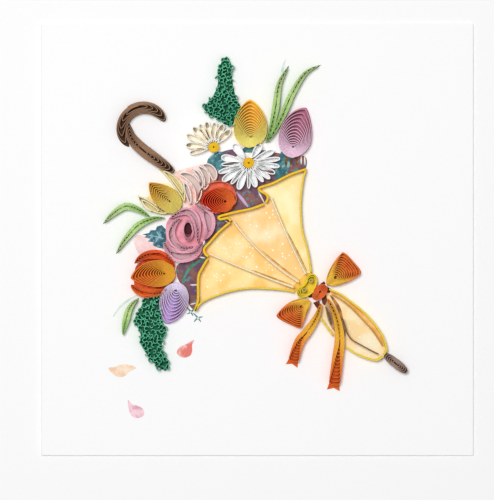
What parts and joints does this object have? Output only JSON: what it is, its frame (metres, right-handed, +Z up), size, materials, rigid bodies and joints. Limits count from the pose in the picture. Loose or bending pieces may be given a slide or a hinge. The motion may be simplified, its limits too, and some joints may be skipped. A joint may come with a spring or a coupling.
{
  "type": "quilled greeting card",
  "caption": "Folded square card with a quilled paper umbrella filled with flowers: rolled and pinched strips standing on edge on the front leaf, with a bow and long tails.",
  "frame": {"origin": "middle of the card's underside, the face it rests on", "axes": "+Z up out of the picture, +Y towards the top edge of the picture, +X towards its right edge; the fold is along the -X side"},
  "size_m": [0.1524, 0.1524, 0.0041],
  "materials": {
    "white_card": "matte card",
    "brown_paper": "matte paper",
    "green_paper": "matte paper",
    "golden_paper": "matte paper",
    "yellow_paper": "matte paper",
    "mauve_paper": "matte paper",
    "lavender_paper": "matte paper",
    "red_orange_paper": "matte paper",
    "orange_paper": "matte paper",
    "pale_yellow_paper": "matte paper",
    "blush_paper": "matte paper",
    "rose_paper": "matte paper",
    "cream_paper": "matte paper",
    "white_paper": "matte paper",
    "light_green_paper": "matte paper"
  },
  "bodies": {
    "root": {"blush_petal_curl": "blush_paper", "blush_petal_end": "blush_paper", "blush_petal_left": "blush_paper", "blush_petal_middle": "blush_paper", "blush_petal_right": "blush_paper", "bow_knot_coil": "orange_paper", "bow_loop_lower": "orange_paper", "bow_loop_upper": "orange_paper", "bow_tail_left": "orange_paper", "bow_tail_right": "orange_paper", "canopy_edge_lower": "yellow_paper", "canopy_edge_right": "yellow_paper", "canopy_rib_lower": "cream_paper", "canopy_rib_middle": "cream_paper", "canopy_rib_upper": "cream_paper", "card": "white_card", "collar_bead_lower": "yellow_paper", "collar_bead_upper": "yellow_paper", "collar_loop": "yellow_paper", "cream_daisy_centre": "yellow_paper", "cream_daisy_petals": "cream_paper", "grass_left_broad": "light_green_paper", "grass_left_pale": "light_green_paper", "grass_lower": "light_green_paper", "grass_upper_left": "light_green_paper", "grass_upper_right": "light_green_paper", "handle_crook_coil": "brown_paper", "handle_shaft_coil": "brown_paper", "lavender_bud_coil": "lavender_paper", "lower_leaf_spray": "green_paper", "mauve_bud_coil": "mauve_paper", "orange_tulip_heart": "orange_paper", "orange_tulip_lower_petal": "red_orange_paper", "orange_tulip_upper_petal": "red_orange_paper", "point_edge_left": "yellow_paper", "point_edge_lower": "yellow_paper", "point_edge_right": "yellow_paper", "point_fold_brown": "brown_paper", "point_fold_left": "brown_paper", "point_fold_right": "yellow_paper", "red_orange_bud_coil": "red_orange_paper", "rim_scallop_first": "yellow_paper", "rim_scallop_fourth": "yellow_paper", "rim_scallop_second": "yellow_paper", "rim_scallop_third": "yellow_paper", "rose_centre_coil": "rose_paper", "rose_petal_bottom": "rose_paper", "rose_petal_left": "rose_paper", "rose_petal_right": "rose_paper", "rose_petal_top": "rose_paper", "umbrella_tip_coil": "brown_paper", "upper_leaf_spray": "green_paper", "white_daisy_centre": "yellow_paper", "white_daisy_petals": "white_paper", "yellow_bud_coil": "golden_paper", "yellow_tulip_heart": "golden_paper", "yellow_tulip_lower_petal": "pale_yellow_paper", "yellow_tulip_upper_petal": "pale_yellow_paper"}
  },
  "joints": []
}
